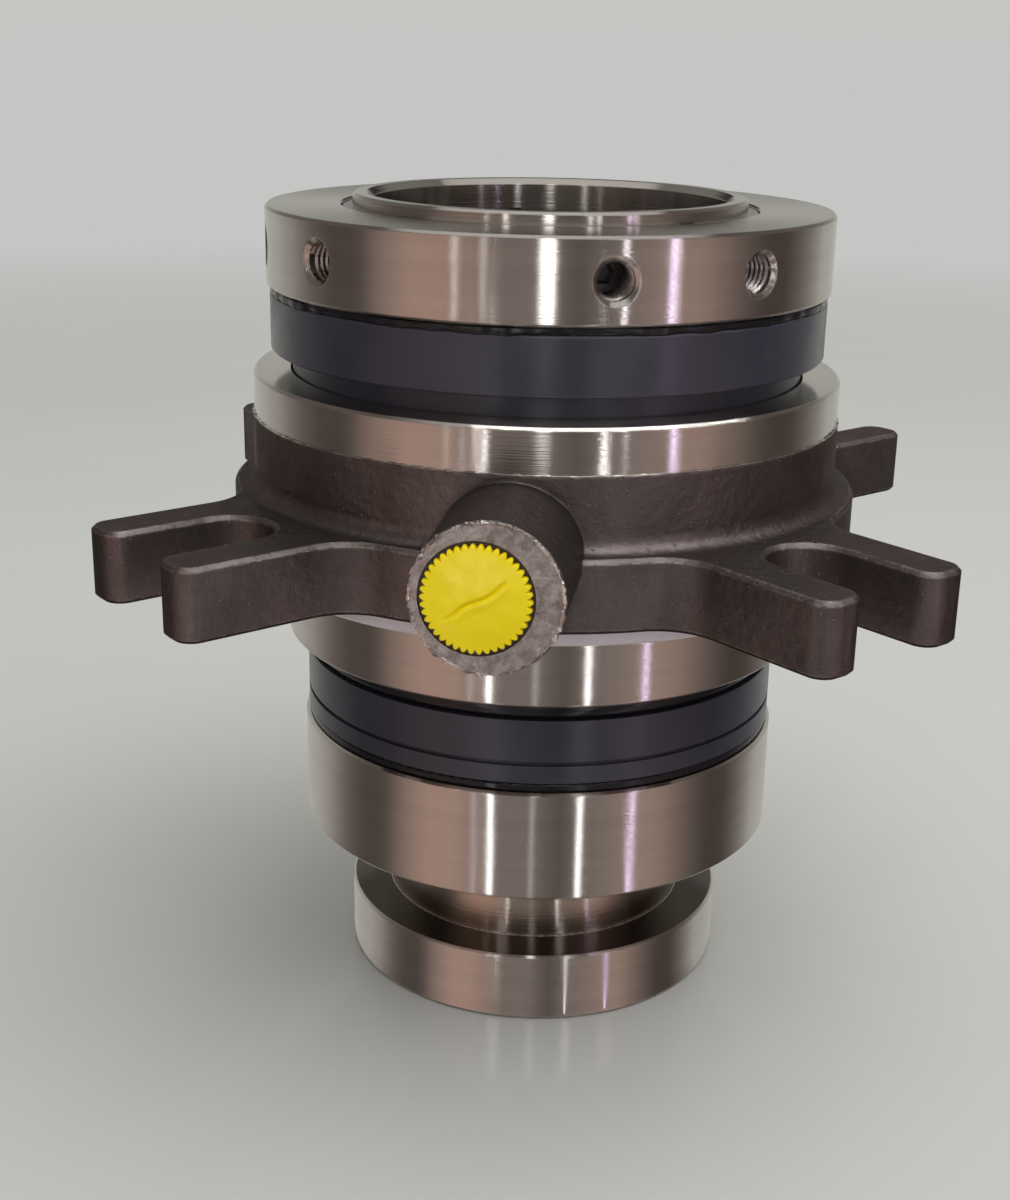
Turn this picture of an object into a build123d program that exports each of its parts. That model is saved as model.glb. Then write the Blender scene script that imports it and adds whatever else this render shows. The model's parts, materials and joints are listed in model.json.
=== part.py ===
from build123d import *
from math import cos, hypot, pi, sin
import os

# Double cartridge mechanical seal, standing on the inboard end of its shaft sleeve.
# Z runs along the shaft, upwards to the outboard side. All sizes are in millimetres.

# Running and seating clearances
slip = 0.05
ring_clearance = 0.4
o_ring_clearance = 0.3
o_ring_squeeze = 0.1
groove_play = 0.4
pin_play = 0.4
nose_clearance = 0.5
face_bore_gap = 1.5
lip_clearance = 2.5
throat_clearance = 3.0
travel = 1.5
match = 0.01

# Edge finishes
edge_break = 0.6
fine_edge = 0.4
rubber_round = 0.6
cast_edge = 0.8
sleeve_lead_in = 1.4

# Shaft sleeve: stepped, for a shaft that is thicker on the outboard side
shaft_outboard = 40.0
shaft_inboard = 31.0
sleeve_wall = 4.5
neck_wall = 5.1
seat_step = 1.9
sleeve_radius = shaft_outboard + sleeve_wall
neck_radius = shaft_inboard + neck_wall
seat_radius = neck_radius + seat_step

# Inboard seal, from the shaft outwards
end_ring_wall = 9.7
rotor_ring_wall = 14.2
housing_wall = 4.35
lip_depth = 3.9
inner_seal_wall = 11.1
end_ring_radius = neck_radius + end_ring_wall
rotor_stem_radius = seat_radius + rotor_ring_wall
housing_radius = rotor_stem_radius + o_ring_clearance + housing_wall
lip_radius = rotor_stem_radius + lip_depth
inner_seal_bore = seat_radius + face_bore_gap
stem_radius = inner_seal_bore + inner_seal_wall

# Outboard seal, from the sleeve outwards
outer_bore_gap = 2.0
outer_seal_wall = 12.0
outer_ring_step = 4.8
collar_step = 0.7
collar_spigot_wall = 11.3
outer_seal_bore = sleeve_radius + outer_bore_gap
nose_radius = outer_seal_bore + outer_seal_wall
outer_ring_radius = nose_radius + outer_ring_step
collar_radius = outer_ring_radius + collar_step
collar_spigot_radius = sleeve_radius + collar_spigot_wall

# Gland body, as turned diameters
spigot_step = 4.3
spigot_lip = 3.2
spigot_relief_depth = 2.3
register_step = 8.1
band_wall = 8.4
band_cut = 0.3
flange_step = 3.8
flange_fillet = 3.4
flange_ledge = 0.4
spigot_radius = lip_radius + spigot_step
register_radius = spigot_radius + register_step
band_radius = nose_radius + nose_clearance + band_wall
barrel_radius = band_radius + band_cut
flange_seat = flange_fillet + cast_edge + flange_ledge
flange_radius = max(barrel_radius + flange_seat, register_radius + flange_step)

# Stack along the shaft, from the base upwards
end_ring_height = 16.7
neck_length = 20.4
housing_height = 25.7
housing_floor = 7.9
rim_band = 2.2
rotating_lip = 5.0
face_rebate = 1.0
face_film = 0.05
stationary_lip = 9.55
spigot_gap = 4.6
spigot_length = 16.8
register_height = 3.8
flange_thickness = 15.6
barrel_height = 16.0
band_height = 9.6
nose_height = 4.85
outer_ring_height = 12.5
collar_gap = 1.6
collar_height = 17.6
sleeve_overhang = 2.5

housing_bottom = end_ring_height + neck_length
pocket_floor = housing_bottom + housing_floor
housing_top = housing_bottom + housing_height
lip_bottom = housing_top + rim_band
inner_face = lip_bottom + rotating_lip
inner_shoulder = inner_face + face_film + stationary_lip
spigot_bottom = inner_shoulder + spigot_gap
register_bottom = spigot_bottom + spigot_length
flange_bottom = register_bottom + register_height
flange_top = flange_bottom + flange_thickness
barrel_top = flange_top + barrel_height
gland_top = barrel_top + band_height
outer_face = gland_top + nose_height
outer_ring_bottom = outer_face + face_film
outer_ring_top = outer_ring_bottom + outer_ring_height
collar_bottom = outer_ring_top + collar_gap
collar_top = collar_bottom + collar_height
sleeve_top = collar_top + sleeve_overhang

# Web of the gland between its two spring chambers
web_offset = 7.0
web_thickness = 22.0
web_lip = 4.5
inner_spring_room = 7.0
outer_spring_room = 6.0
web_bottom = register_bottom + web_offset
web_top = web_bottom + web_thickness
stem_top = web_bottom - inner_spring_room
outer_seal_bottom = web_top + outer_spring_room

# Forked bolt lugs
lug_count = 4
lug_length = 35.2
lug_width = 42.0
slot_width = 19.0
slot_depth = 32.0
lug_root_fillet = 12.0
lug_tip_fillet = 4.5
lug_reach = flange_radius + lug_length
slot_end = lug_reach - slot_depth

# Side ports, their bosses and plugs
port_count = 2
port_angle = -47.0
port_offset = 11.9
port_radius = 7.6
port_countersink = 1.0
boss_wall = 7.4
boss_length = 28.3
boss_shift = 1.8
port_height = web_bottom + port_offset
boss_radius = port_radius + boss_wall
boss_reach = barrel_radius + boss_length
plug_flange = 3.1
plug_head_height = 2.2
plug_tooth_depth = 0.55
plug_teeth = 42
plug_stem_length = 9.0
plug_wall = 1.6
plug_slot_length = 13.0
plug_slot_width = 1.0
plug_slot_depth = 0.5
plug_slot_angle = -61.0

# Set screws of the drive collar
screw_pairs = 4
screw_pair_angle = 30.0
screw_first_angle = -28.0
screw_offset = 9.0
screw_radius = 3.9
screw_length = 12.0
screw_retreat = 0.6
screw_tip = 1.2
screw_tip_angle = 45.0
screw_socket = 4.0
screw_socket_depth = 4.5
countersink_radius = 5.0
screw_height = collar_bottom + screw_offset

# Drive collar
recess_width = 2.5
recess_depth = 2.2
collar_pocket_depth = 4.0
collar_recess_radius = sleeve_radius + recess_width
collar_pocket_top = collar_bottom + collar_pocket_depth

# Rubber rings: section diameters and grooves
sleeve_o_ring_section = 3.1
small_o_ring_section = 2.8
seat_o_ring_section = 3.2
bead_section = 4.2
sleeve_groove_offset = 5.0
small_groove_offset = 3.5
groove_width = small_o_ring_section + 2 * groove_play
seat_relief = seat_o_ring_section + 2 * groove_play

# Disc springs and pins
carrier_thickness = 2.0
disc_count = 3
disc_thickness = 0.6
disc_width = 3.6
disc_play = 0.5
pin_count = 4
pin_radius = 1.5
pin_seat_depth = 4.0
pin_hole_depth = 6.0
pin_end_play = 0.5
inner_pin_inset = 3.0
outer_pin_inset = 5.0
inner_drive_inset = 8.0
outer_drive_inset = 7.0
inner_pin_circle = stem_radius - inner_pin_inset
outer_pin_circle = nose_radius - outer_pin_inset
inner_drive_circle = seat_radius + inner_drive_inset
outer_drive_circle = sleeve_radius + outer_drive_inset
pin_first_angle = port_angle + 45.0
drive_pin_angle = screw_first_angle + 60.0

# Retaining rings
retainer_thickness = 1.5
retainer_groove = 1.3
retainer_height = 2.1
retainer_gap = 5.0
housing_retainer_wall = 3.0
snap_gap_angle = 2.0
neck_groove_bottom = housing_bottom - retainer_thickness
snap_bottom = collar_top - retainer_height

# Steps inside and outside the shaft sleeve
shoulder_gap = 1.0
bore_step_height = 4.0
shoulder_start = web_bottom + web_lip + shoulder_gap
shoulder_end = shoulder_start + sleeve_radius - seat_radius
step_top = shoulder_end + bore_step_height
sleeve_groove_bottom = end_ring_height + sleeve_groove_offset
sleeve_groove_height = sleeve_o_ring_section + 2 * groove_play


def rims(piece, radius, height=None):
    """Circular edges of this radius, and at this height where one is given."""
    return [edge for edge in piece.edges().filter_by(GeomType.CIRCLE)
            if abs(edge.radius - radius) < match
            and (height is None or abs(edge.center().Z - height) < match)]


def turned_outward(angle):
    """Direction away from the shaft at this angle."""
    return Vector(1, 0, 0).rotate(Axis.Z, angle)


def o_ring(radius, height, section):
    """Rubber ring of round section, centred on the shaft line."""
    with BuildPart() as ring:
        with BuildSketch(Plane.XZ):
            with Locations((radius, height)):
                Circle(section / 2)
        revolve(axis=Axis.Z)
    return ring


def retaining_ring(inner, outer, bottom, gap_angle):
    """Flat open ring that snaps into a groove of the sleeve."""
    with BuildPart() as ring:
        with BuildSketch(Plane.XY.offset(bottom)):
            Circle(outer)
            Circle(inner, mode=Mode.SUBTRACT)
            with PolarLocations(outer, 1, gap_angle):
                Rectangle(2 * (outer - inner) + retainer_gap, retainer_gap, mode=Mode.SUBTRACT)
        extrude(amount=retainer_thickness)
    return ring


def pins(circle, bottom, top, first_angle):
    """Set of equal pins parallel to the shaft."""
    with BuildPart() as group:
        with BuildSketch(Plane.XY.offset(bottom)):
            with PolarLocations(circle, pin_count, first_angle):
                Circle(pin_radius)
        extrude(amount=top - bottom)
    return group


def disc_springs(inner, bottom, top):
    """Stack of coned spring washers that bear on each other rim to rim."""
    outer = inner + disc_width
    pitch = (top - bottom) / disc_count
    with BuildPart() as stack:
        for level in range(disc_count):
            low, high = (inner, outer) if level % 2 else (outer, inner)
            foot = bottom + level * pitch
            with BuildSketch(Plane.XZ):
                with BuildLine():
                    Polyline(
                        (low, foot),
                        (high, foot + pitch - disc_thickness),
                        (high, foot + pitch),
                        (low, foot + disc_thickness),
                        close=True,
                    )
                make_face()
            revolve(axis=Axis.Z)
    return stack


# ---- Rotor: everything that turns with the shaft ----

screw_outward = [turned_outward(screw_first_angle + 360 / screw_pairs * pair + turn)
                 for pair in range(screw_pairs) for turn in (0, screw_pair_angle)]

with BuildPart() as shaft_sleeve:
    with BuildSketch(Plane.XZ):
        with BuildLine():
            Polyline(
                (shaft_inboard, 0),
                (neck_radius, 0),
                (neck_radius, neck_groove_bottom),
                (neck_radius - retainer_groove, neck_groove_bottom),
                (neck_radius - retainer_groove, housing_bottom),
                (neck_radius, housing_bottom),
                (neck_radius, pocket_floor),
                (seat_radius, pocket_floor),
                (seat_radius, shoulder_start),
                (sleeve_radius, shoulder_end),
                (sleeve_radius, snap_bottom),
                (sleeve_radius - retainer_groove, snap_bottom),
                (sleeve_radius - retainer_groove, snap_bottom + retainer_thickness),
                (sleeve_radius, snap_bottom + retainer_thickness),
                (sleeve_radius, sleeve_top),
                (shaft_outboard, sleeve_top),
                (shaft_outboard, step_top),
                (shaft_inboard, step_top),
                close=True,
            )
        make_face()
    revolve(axis=Axis.Z)
    chamfer(rims(shaft_sleeve, shaft_outboard, sleeve_top), sleeve_lead_in)
    chamfer(rims(shaft_sleeve, sleeve_radius, sleeve_top), edge_break)
    chamfer(rims(shaft_sleeve, shaft_inboard, 0), edge_break)
    with BuildSketch(Plane.XY.offset(sleeve_groove_bottom)):
        Circle(shaft_inboard + sleeve_o_ring_section - o_ring_squeeze)
    extrude(amount=sleeve_groove_height, mode=Mode.SUBTRACT)
    for outward in screw_outward:
        with BuildSketch(Plane(origin=(0, 0, screw_height), z_dir=outward)):
            Circle(screw_radius + slip)
        extrude(amount=collar_radius, mode=Mode.SUBTRACT)

sleeve_o_ring = o_ring(
    shaft_inboard + sleeve_o_ring_section / 2,
    sleeve_groove_bottom + sleeve_groove_height / 2,
    sleeve_o_ring_section - 2 * o_ring_squeeze,
)

with BuildPart() as sleeve_end_ring:
    with BuildSketch():
        Circle(end_ring_radius)
        Circle(neck_radius + slip, mode=Mode.SUBTRACT)
    extrude(amount=end_ring_height)
    chamfer(rims(sleeve_end_ring, end_ring_radius), edge_break)

housing_snap_ring = retaining_ring(
    neck_radius - retainer_groove + slip,
    neck_radius + housing_retainer_wall,
    neck_groove_bottom,
    snap_gap_angle + 180,
)

with BuildPart() as rotor_housing:
    with BuildSketch(Plane.XZ):
        with BuildLine():
            Polyline(
                (neck_radius + slip, housing_bottom),
                (housing_radius, housing_bottom),
                (housing_radius, housing_top),
                (rotor_stem_radius + o_ring_clearance, housing_top),
                (rotor_stem_radius + o_ring_clearance, pocket_floor),
                (neck_radius + slip, pocket_floor),
                close=True,
            )
        make_face()
    revolve(axis=Axis.Z)
    chamfer(rims(rotor_housing, housing_radius), edge_break)
    with BuildSketch(Plane.XY.offset(pocket_floor)):
        with PolarLocations(inner_drive_circle, pin_count, drive_pin_angle):
            Circle(pin_radius + slip)
    extrude(amount=-pin_seat_depth, mode=Mode.SUBTRACT)

rotor_bore = seat_radius + 2 * o_ring_clearance
with BuildPart() as inner_rotating_ring:
    with BuildSketch(Plane.XZ):
        with BuildLine():
            Polyline(
                (seat_radius + seat_relief, pocket_floor),
                (rotor_stem_radius, pocket_floor),
                (rotor_stem_radius, lip_bottom),
                (lip_radius, lip_bottom),
                (lip_radius, inner_face - face_rebate),
                (lip_radius - face_rebate, inner_face - face_rebate),
                (lip_radius - face_rebate, inner_face),
                (rotor_bore, inner_face),
                (rotor_bore, pocket_floor + seat_relief),
                (seat_radius + seat_relief, pocket_floor + seat_relief),
                close=True,
            )
        make_face()
    revolve(axis=Axis.Z)
    with BuildSketch(Plane.XY.offset(pocket_floor)):
        with PolarLocations(inner_drive_circle, pin_count, drive_pin_angle):
            Circle(pin_radius + pin_play)
    extrude(amount=pin_seat_depth + pin_end_play, mode=Mode.SUBTRACT)

inner_rotating_o_ring = o_ring(
    seat_radius + slip + seat_o_ring_section / 2,
    pocket_floor + seat_relief / 2,
    seat_o_ring_section,
)

with BuildPart() as rotor_rim_ring:
    with BuildSketch(Plane.XY.offset(housing_top)):
        Circle(lip_radius - o_ring_squeeze)
        Circle(rotor_stem_radius + slip, mode=Mode.SUBTRACT)
    extrude(amount=rim_band)
    fillet(rims(rotor_rim_ring, lip_radius - o_ring_squeeze), rubber_round)

inner_drive_pins = pins(
    inner_drive_circle,
    pocket_floor - pin_seat_depth,
    pocket_floor + pin_seat_depth,
    drive_pin_angle,
)

outer_rotating_bore = sleeve_radius + 2 * o_ring_clearance
with BuildPart() as outer_rotating_ring:
    with BuildSketch(Plane.XZ):
        with BuildLine():
            Polyline(
                (outer_rotating_bore, outer_ring_bottom),
                (outer_ring_radius, outer_ring_bottom),
                (outer_ring_radius, outer_ring_top),
                (collar_spigot_radius, outer_ring_top),
                (collar_spigot_radius, collar_pocket_top),
                (sleeve_radius + seat_relief, collar_pocket_top),
                (sleeve_radius + seat_relief, collar_pocket_top - seat_relief),
                (outer_rotating_bore, collar_pocket_top - seat_relief),
                close=True,
            )
        make_face()
    revolve(axis=Axis.Z)
    chamfer(rims(outer_rotating_ring, outer_ring_radius), fine_edge)
    with BuildSketch(Plane.XY.offset(collar_pocket_top)):
        with PolarLocations(outer_drive_circle, pin_count, drive_pin_angle):
            Circle(pin_radius + pin_play)
    extrude(amount=-pin_seat_depth - pin_end_play, mode=Mode.SUBTRACT)

outer_rotating_o_ring = o_ring(
    sleeve_radius + slip + seat_o_ring_section / 2,
    collar_pocket_top - seat_relief / 2,
    seat_o_ring_section,
)

with BuildPart() as collar_rubber_ring:
    with BuildSketch(Plane.XY.offset(outer_ring_top)):
        Circle(outer_ring_radius - o_ring_squeeze)
        Circle(collar_spigot_radius + slip, mode=Mode.SUBTRACT)
    extrude(amount=collar_gap)
    fillet(rims(collar_rubber_ring, outer_ring_radius - o_ring_squeeze), rubber_round)

outer_drive_pins = pins(
    outer_drive_circle,
    collar_pocket_top - pin_seat_depth,
    collar_pocket_top + pin_seat_depth,
    drive_pin_angle,
)

with BuildPart() as drive_collar:
    with BuildSketch(Plane.XZ):
        with BuildLine():
            Polyline(
                (sleeve_radius + slip, collar_pocket_top),
                (collar_spigot_radius + o_ring_clearance, collar_pocket_top),
                (collar_spigot_radius + o_ring_clearance, collar_bottom),
                (collar_radius, collar_bottom),
                (collar_radius, collar_top),
                (collar_recess_radius, collar_top),
                (collar_recess_radius, collar_top - recess_depth),
                (sleeve_radius + slip, collar_top - recess_depth),
                close=True,
            )
        make_face()
    revolve(axis=Axis.Z)
    chamfer(rims(drive_collar, collar_radius), edge_break)
    chamfer(rims(drive_collar, collar_recess_radius, collar_top), fine_edge)
    with BuildSketch(Plane.XY.offset(collar_pocket_top)):
        with PolarLocations(outer_drive_circle, pin_count, drive_pin_angle):
            Circle(pin_radius + slip)
    extrude(amount=pin_seat_depth, mode=Mode.SUBTRACT)
    for outward in screw_outward:
        with Locations(Plane(origin=outward * collar_radius + (0, 0, screw_height), z_dir=outward)):
            CounterSinkHole(
                radius=screw_radius + slip,
                counter_sink_radius=countersink_radius,
                depth=collar_radius - shaft_outboard,
                counter_sink_angle=90,
            )

screw_foot = shaft_outboard + screw_retreat
screw_shank = screw_length - screw_tip - screw_socket_depth
with BuildPart() as collar_set_screws:
    for outward in screw_outward:
        shoulder = Plane(origin=outward * (screw_foot + screw_tip) + (0, 0, screw_height), z_dir=outward)
        with BuildSketch(shoulder):
            Circle(screw_radius)
        extrude(amount=-screw_tip, taper=screw_tip_angle)
        with BuildSketch(shoulder):
            Circle(screw_radius)
        extrude(amount=screw_shank)
        with BuildSketch(shoulder.offset(screw_shank)):
            Circle(screw_radius)
            RegularPolygon(screw_socket / 2, 6, major_radius=False, mode=Mode.SUBTRACT)
        extrude(amount=screw_socket_depth)

sleeve_snap_ring = retaining_ring(
    sleeve_radius - retainer_groove + slip,
    collar_recess_radius - o_ring_clearance,
    snap_bottom,
    snap_gap_angle,
)

# ---- Sprung faces: held from turning by the gland, pressed on the rotor by springs ----

inner_groove_radius = stem_radius - small_o_ring_section + o_ring_squeeze
inner_groove_bottom = spigot_bottom + small_groove_offset
with BuildPart() as inner_stationary_ring:
    with BuildSketch(Plane.XZ):
        with BuildLine():
            Polyline(
                (inner_seal_bore, inner_face + face_film),
                (lip_radius, inner_face + face_film),
                (lip_radius, inner_shoulder),
                (stem_radius, inner_shoulder),
                (stem_radius, inner_groove_bottom),
                (inner_groove_radius, inner_groove_bottom),
                (inner_groove_radius, inner_groove_bottom + groove_width),
                (stem_radius, inner_groove_bottom + groove_width),
                (stem_radius, stem_top),
                (inner_seal_bore, stem_top),
                close=True,
            )
        make_face()
    revolve(axis=Axis.Z)
    with BuildSketch(Plane.XY.offset(stem_top)):
        with PolarLocations(inner_pin_circle, pin_count, pin_first_angle):
            Circle(pin_radius + pin_play)
    extrude(amount=-pin_hole_depth, mode=Mode.SUBTRACT)

inner_stationary_o_ring = o_ring(
    inner_groove_radius + small_o_ring_section / 2,
    inner_groove_bottom + groove_width / 2,
    small_o_ring_section - o_ring_squeeze,
)

inner_bead_ring = o_ring(
    lip_radius - o_ring_squeeze - bead_section / 2,
    inner_shoulder + bead_section / 2,
    bead_section,
)

with BuildPart() as inner_spring_carrier:
    with BuildSketch(Plane.XY.offset(stem_top)):
        Circle(stem_radius)
        Circle(inner_seal_bore, mode=Mode.SUBTRACT)
        with PolarLocations(inner_pin_circle, pin_count, pin_first_angle):
            Circle(pin_radius + pin_play, mode=Mode.SUBTRACT)
    extrude(amount=carrier_thickness)

outer_groove_radius = nose_radius - small_o_ring_section + 2 * o_ring_squeeze
outer_groove_bottom = outer_seal_bottom + small_groove_offset
with BuildPart() as outer_stationary_ring:
    with BuildSketch(Plane.XZ):
        with BuildLine():
            Polyline(
                (outer_seal_bore, outer_seal_bottom),
                (nose_radius, outer_seal_bottom),
                (nose_radius, outer_groove_bottom),
                (outer_groove_radius, outer_groove_bottom),
                (outer_groove_radius, outer_groove_bottom + groove_width),
                (nose_radius, outer_groove_bottom + groove_width),
                (nose_radius, outer_face),
                (outer_seal_bore, outer_face),
                close=True,
            )
        make_face()
    revolve(axis=Axis.Z)
    chamfer(rims(outer_stationary_ring, nose_radius, outer_face), fine_edge)
    with BuildSketch(Plane.XY.offset(outer_seal_bottom)):
        with PolarLocations(outer_pin_circle, pin_count, pin_first_angle):
            Circle(pin_radius + pin_play)
    extrude(amount=pin_hole_depth, mode=Mode.SUBTRACT)

outer_stationary_o_ring = o_ring(
    outer_groove_radius + small_o_ring_section / 2,
    outer_groove_bottom + groove_width / 2,
    small_o_ring_section - o_ring_squeeze,
)

with BuildPart() as outer_spring_carrier:
    with BuildSketch(Plane.XY.offset(outer_seal_bottom)):
        Circle(nose_radius)
        Circle(outer_seal_bore, mode=Mode.SUBTRACT)
        with PolarLocations(outer_pin_circle, pin_count, pin_first_angle):
            Circle(pin_radius + pin_play, mode=Mode.SUBTRACT)
    extrude(amount=-carrier_thickness)

# ---- Gland: the cast and machined housing with its springs, pins and port plugs ----

port_outward = [turned_outward(port_angle + 360 / port_count * turn) for turn in range(port_count)]
with BuildPart() as gland:
    # Flange with its forked lugs, all one casting
    with BuildSketch(Plane.XY.offset(flange_bottom)) as outline:
        Circle(flange_radius)
        with PolarLocations(lug_reach / 2, lug_count):
            Rectangle(lug_reach, lug_width)
        roots = [corner for corner in outline.vertices()
                 if abs(hypot(corner.X, corner.Y) - flange_radius) < match]
        fillet(roots, lug_root_fillet)
        with PolarLocations(slot_end + slot_width / 2, lug_count):
            Circle(slot_width / 2, mode=Mode.SUBTRACT)
        with PolarLocations(slot_end + slot_width / 2 + lug_reach / 2, lug_count):
            Rectangle(lug_reach, slot_width, mode=Mode.SUBTRACT)
        tips = [corner for corner in outline.vertices()
                if max(abs(corner.X), abs(corner.Y)) > lug_reach - match]
        fillet(tips, lug_tip_fillet)
    extrude(amount=flange_thickness)
    chamfer(gland.edges().group_by(Axis.Z)[-1] + gland.edges().group_by(Axis.Z)[0], cast_edge)
    # Barrel that rises from the flange with a generous fillet
    with BuildSketch(Plane.XY.offset(flange_bottom)):
        Circle(barrel_radius)
    extrude(amount=flange_thickness + barrel_height)
    fillet(rims(gland, barrel_radius, flange_top), flange_fillet)
    # Port bosses, which stand a little to one side of their ports
    for outward in port_outward:
        face = Plane(origin=outward * boss_reach + (0, 0, port_height), x_dir=(0, 0, 1), z_dir=outward)
        with BuildSketch(face):
            with Locations((0, -boss_shift)):
                Circle(boss_radius)
        extrude(amount=sleeve_radius - boss_reach)
    # Turned spigot, register and band
    with BuildSketch(Plane.XY.offset(spigot_bottom)):
        Circle(spigot_radius)
    extrude(amount=flange_bottom - spigot_bottom)
    with BuildSketch(Plane.XY.offset(register_bottom)):
        Circle(register_radius)
    extrude(amount=register_height)
    with BuildSketch(Plane.XY.offset(barrel_top)):
        Circle(band_radius)
    extrude(amount=band_height)
    chamfer(
        rims(gland, spigot_radius, spigot_bottom)
        + rims(gland, register_radius, register_bottom)
        + rims(gland, band_radius, gland_top),
        edge_break,
    )
    # Chambers of the two seals, the throat between them and the relief of the spigot's mouth
    with BuildSketch(Plane.XY.offset(spigot_bottom)):
        Circle(spigot_radius - spigot_lip)
    extrude(amount=spigot_relief_depth, mode=Mode.SUBTRACT)
    with BuildSketch(Plane.XY.offset(spigot_bottom)):
        Circle(stem_radius + ring_clearance)
    extrude(amount=web_bottom - spigot_bottom, mode=Mode.SUBTRACT)
    with BuildSketch(Plane.XY.offset(web_bottom)):
        Circle(seat_radius + lip_clearance)
    extrude(amount=web_lip, mode=Mode.SUBTRACT)
    with BuildSketch(Plane.XY.offset(web_bottom + web_lip)):
        Circle(sleeve_radius + throat_clearance)
    extrude(amount=web_thickness - web_lip, mode=Mode.SUBTRACT)
    with BuildSketch(Plane.XY.offset(web_top)):
        Circle(nose_radius + nose_clearance)
    extrude(amount=gland_top - web_top, mode=Mode.SUBTRACT)
    # Ports and pin holes
    for outward in port_outward:
        with Locations(Plane(origin=outward * boss_reach + (0, 0, port_height), z_dir=outward)):
            CounterSinkHole(
                radius=port_radius,
                counter_sink_radius=port_radius + port_countersink,
                depth=boss_reach - sleeve_radius,
                counter_sink_angle=90,
            )
    with BuildSketch(Plane.XY.offset(web_bottom)):
        with PolarLocations(inner_pin_circle, pin_count, pin_first_angle):
            Circle(pin_radius + slip)
    extrude(amount=pin_seat_depth, mode=Mode.SUBTRACT)
    with BuildSketch(Plane.XY.offset(web_top)):
        with PolarLocations(outer_pin_circle, pin_count, pin_first_angle):
            Circle(pin_radius + slip)
    extrude(amount=-pin_seat_depth, mode=Mode.SUBTRACT)

pin_tip_room = travel + pin_end_play
inner_anti_rotation_pins = pins(
    inner_pin_circle,
    stem_top - pin_hole_depth + pin_tip_room,
    web_bottom + pin_seat_depth,
    pin_first_angle,
)
outer_anti_rotation_pins = pins(
    outer_pin_circle,
    web_top - pin_seat_depth,
    outer_seal_bottom + pin_hole_depth - pin_tip_room,
    pin_first_angle,
)
inner_springs = disc_springs(
    seat_radius + lip_clearance + disc_play, stem_top + carrier_thickness, web_bottom)
outer_springs = disc_springs(
    sleeve_radius + throat_clearance + disc_play, web_top, outer_seal_bottom - carrier_thickness)

tooth_angle = 2 * pi / plug_teeth
plug_head_radius = port_radius + plug_flange
serrations = [(radius * cos(turn * tooth_angle), radius * sin(turn * tooth_angle))
              for tooth in range(plug_teeth)
              for turn, radius in ((tooth, plug_head_radius),
                                   (tooth + 0.5, plug_head_radius - plug_tooth_depth))]


def port_plug(outward):
    """Moulded plug with a serrated head and a hollow stem, in the port that faces this way."""
    face = Plane(origin=outward * boss_reach + (0, 0, port_height), x_dir=(0, 0, 1), z_dir=outward)
    with BuildPart() as plug:
        with BuildSketch(face):
            with BuildLine():
                Polyline(*serrations, close=True)
            make_face()
        extrude(amount=plug_head_height)
        with BuildSketch(face):
            Circle(port_radius - slip)
            Circle(port_radius - plug_wall, mode=Mode.SUBTRACT)
        extrude(amount=-plug_stem_length)
        with BuildSketch(face.offset(plug_head_height)):
            Rectangle(plug_slot_length, plug_slot_width, rotation=plug_slot_angle)
        extrude(amount=-plug_slot_depth, mode=Mode.SUBTRACT)
    return plug


port_plug_front, port_plug_rear = [port_plug(outward) for outward in port_outward]

pieces = {
    "shaft_sleeve": shaft_sleeve,
    "sleeve_o_ring": sleeve_o_ring,
    "sleeve_end_ring": sleeve_end_ring,
    "housing_snap_ring": housing_snap_ring,
    "rotor_housing": rotor_housing,
    "inner_rotating_ring": inner_rotating_ring,
    "inner_rotating_o_ring": inner_rotating_o_ring,
    "rotor_rim_ring": rotor_rim_ring,
    "inner_drive_pins": inner_drive_pins,
    "outer_rotating_ring": outer_rotating_ring,
    "outer_rotating_o_ring": outer_rotating_o_ring,
    "collar_rubber_ring": collar_rubber_ring,
    "outer_drive_pins": outer_drive_pins,
    "drive_collar": drive_collar,
    "collar_set_screws": collar_set_screws,
    "sleeve_snap_ring": sleeve_snap_ring,
    "inner_stationary_ring": inner_stationary_ring,
    "inner_stationary_o_ring": inner_stationary_o_ring,
    "inner_bead_ring": inner_bead_ring,
    "inner_spring_carrier": inner_spring_carrier,
    "outer_stationary_ring": outer_stationary_ring,
    "outer_stationary_o_ring": outer_stationary_o_ring,
    "outer_spring_carrier": outer_spring_carrier,
    "gland": gland,
    "inner_anti_rotation_pins": inner_anti_rotation_pins,
    "outer_anti_rotation_pins": outer_anti_rotation_pins,
    "inner_springs": inner_springs,
    "outer_springs": outer_springs,
    "port_plug_front": port_plug_front,
    "port_plug_rear": port_plug_rear,
}

os.makedirs("parts", exist_ok=True)
for name, piece in pieces.items():
    piece.part.label = name
    export_step(piece.part, f"parts/{name}.step")
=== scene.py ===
import json
import math

import bmesh
import bpy
from mathutils import Matrix, Vector, noise

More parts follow.
